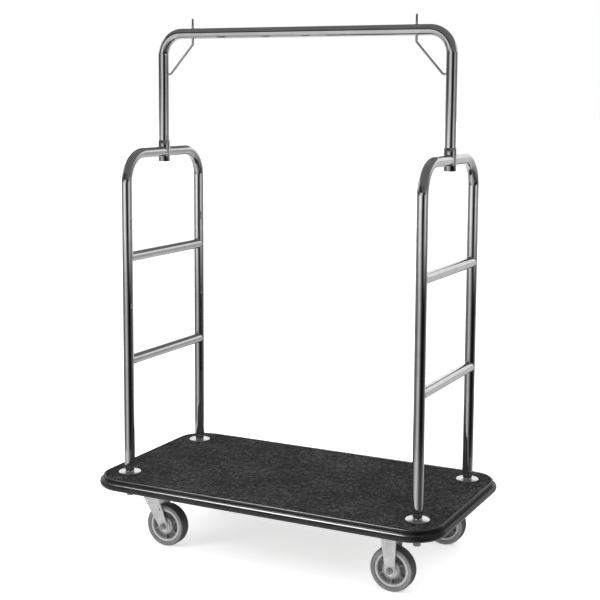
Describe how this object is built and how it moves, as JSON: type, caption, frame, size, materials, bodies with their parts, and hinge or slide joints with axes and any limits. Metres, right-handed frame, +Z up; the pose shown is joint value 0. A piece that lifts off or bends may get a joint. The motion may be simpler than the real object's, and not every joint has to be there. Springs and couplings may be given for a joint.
{
  "type": "hotel luggage cart",
  "caption": "Hotel luggage cart with a carpeted deck in a bumper, tubular end ladders, a lift-out hanging rail with garment hooks, and swivel and rigid casters.",
  "frame": {"origin": "on the floor under the middle of the deck", "axes": "+X along the deck towards the rigid casters, +Y across the deck, +Z up"},
  "size_m": [1.119, 0.612, 1.59],
  "materials": {
    "polished_steel": "mirror-polished stainless steel",
    "zinc_steel": "bright zinc plate on pressed steel",
    "bearing_steel": "polished ball",
    "plywood": "plain plywood",
    "carpet": "short cut pile, charcoal",
    "bumper_vinyl": "black extruded vinyl, semi-gloss",
    "tyre": "grey thermoplastic rubber",
    "wheel_plastic": "moulded polypropylene, light grey",
    "bearing_nylon": "natural nylon"
  },
  "bodies": {
    "cart": {"deck_board": "plywood", "carpet": "carpet", "bumper": "bumper_vinyl", "left_cross_channel": "zinc_steel", "right_cross_channel": "zinc_steel", "left_front_frame_tube": "polished_steel", "left_rear_frame_tube": "polished_steel", "right_front_frame_tube": "polished_steel", "right_rear_frame_tube": "polished_steel", "left_upper_rung": "polished_steel", "left_lower_rung": "polished_steel", "right_upper_rung": "polished_steel", "right_lower_rung": "polished_steel", "left_rail_socket": "polished_steel", "right_rail_socket": "polished_steel", "front_left_post_foot": "polished_steel", "rear_left_post_foot": "polished_steel", "front_right_post_foot": "polished_steel", "rear_right_post_foot": "polished_steel", "post_studs": "zinc_steel", "post_washers": "zinc_steel", "post_long_nuts": "zinc_steel", "caster_plate_screws": "zinc_steel", "caster_plate_nuts": "zinc_steel", "swivel_kingpins": "zinc_steel", "swivel_ball_races": "bearing_steel", "front_left_top_plate": "zinc_steel", "rear_left_top_plate": "zinc_steel", "front_right_top_plate": "zinc_steel", "front_right_fork": "zinc_steel", "rear_right_top_plate": "zinc_steel", "rear_right_fork": "zinc_steel", "rigid_axle_sleeves": "zinc_steel", "rigid_axle_bolts": "zinc_steel", "rigid_axle_nuts": "zinc_steel"},
    "rail": {"hanging_rail": "polished_steel", "left_garment_hook": "polished_steel", "right_garment_hook": "polished_steel"},
    "front_left_swivel": {"front_left_fork": "zinc_steel", "front_left_axle_sleeve": "zinc_steel", "front_left_axle_bolt": "zinc_steel", "front_left_axle_nut": "zinc_steel"},
    "rear_left_swivel": {"rear_left_fork": "zinc_steel", "rear_left_axle_sleeve": "zinc_steel", "rear_left_axle_bolt": "zinc_steel", "rear_left_axle_nut": "zinc_steel"},
    "front_left_wheel": {"front_left_tyre": "tyre", "front_left_wheel_centre": "wheel_plastic", "front_left_bearing": "bearing_nylon"},
    "rear_left_wheel": {"rear_left_tyre": "tyre", "rear_left_wheel_centre": "wheel_plastic", "rear_left_bearing": "bearing_nylon"},
    "front_right_wheel": {"front_right_tyre": "tyre", "front_right_wheel_centre": "wheel_plastic", "front_right_bearing": "bearing_nylon"},
    "rear_right_wheel": {"rear_right_tyre": "tyre", "rear_right_wheel_centre": "wheel_plastic", "rear_right_bearing": "bearing_nylon"}
  },
  "joints": [
    {"name": "rail_lift", "type": "slide", "parent": "cart", "child": "rail", "axis": [0, 0, 1], "range_m": [0, 0.06]},
    {"name": "front_left_swivel_turn", "type": "hinge", "parent": "cart", "child": "front_left_swivel", "pos_m": [-0.391, -0.192, 0.16], "axis": [0, 0, 1], "continuous": true},
    {"name": "front_left_wheel_spin", "type": "hinge", "parent": "front_left_swivel", "child": "front_left_wheel", "pos_m": [-0.343, -0.192, 0.0635], "axis": [0, 1, 0], "continuous": true},
    {"name": "rear_left_swivel_turn", "type": "hinge", "parent": "cart", "child": "rear_left_swivel", "pos_m": [-0.391, 0.192, 0.16], "axis": [0, 0, 1], "continuous": true},
    {"name": "rear_left_wheel_spin", "type": "hinge", "parent": "rear_left_swivel", "child": "rear_left_wheel", "pos_m": [-0.343, 0.192, 0.0635], "axis": [0, 1, 0], "continuous": true},
    {"name": "front_right_wheel_spin", "type": "hinge", "parent": "cart", "child": "front_right_wheel", "pos_m": [0.4035, -0.205, 0.0635], "axis": [0, 1, 0], "continuous": true},
    {"name": "rear_right_wheel_spin", "type": "hinge", "parent": "cart", "child": "rear_right_wheel", "pos_m": [0.4035, 0.205, 0.0635], "axis": [0, 1, 0], "continuous": true}
  ]
}
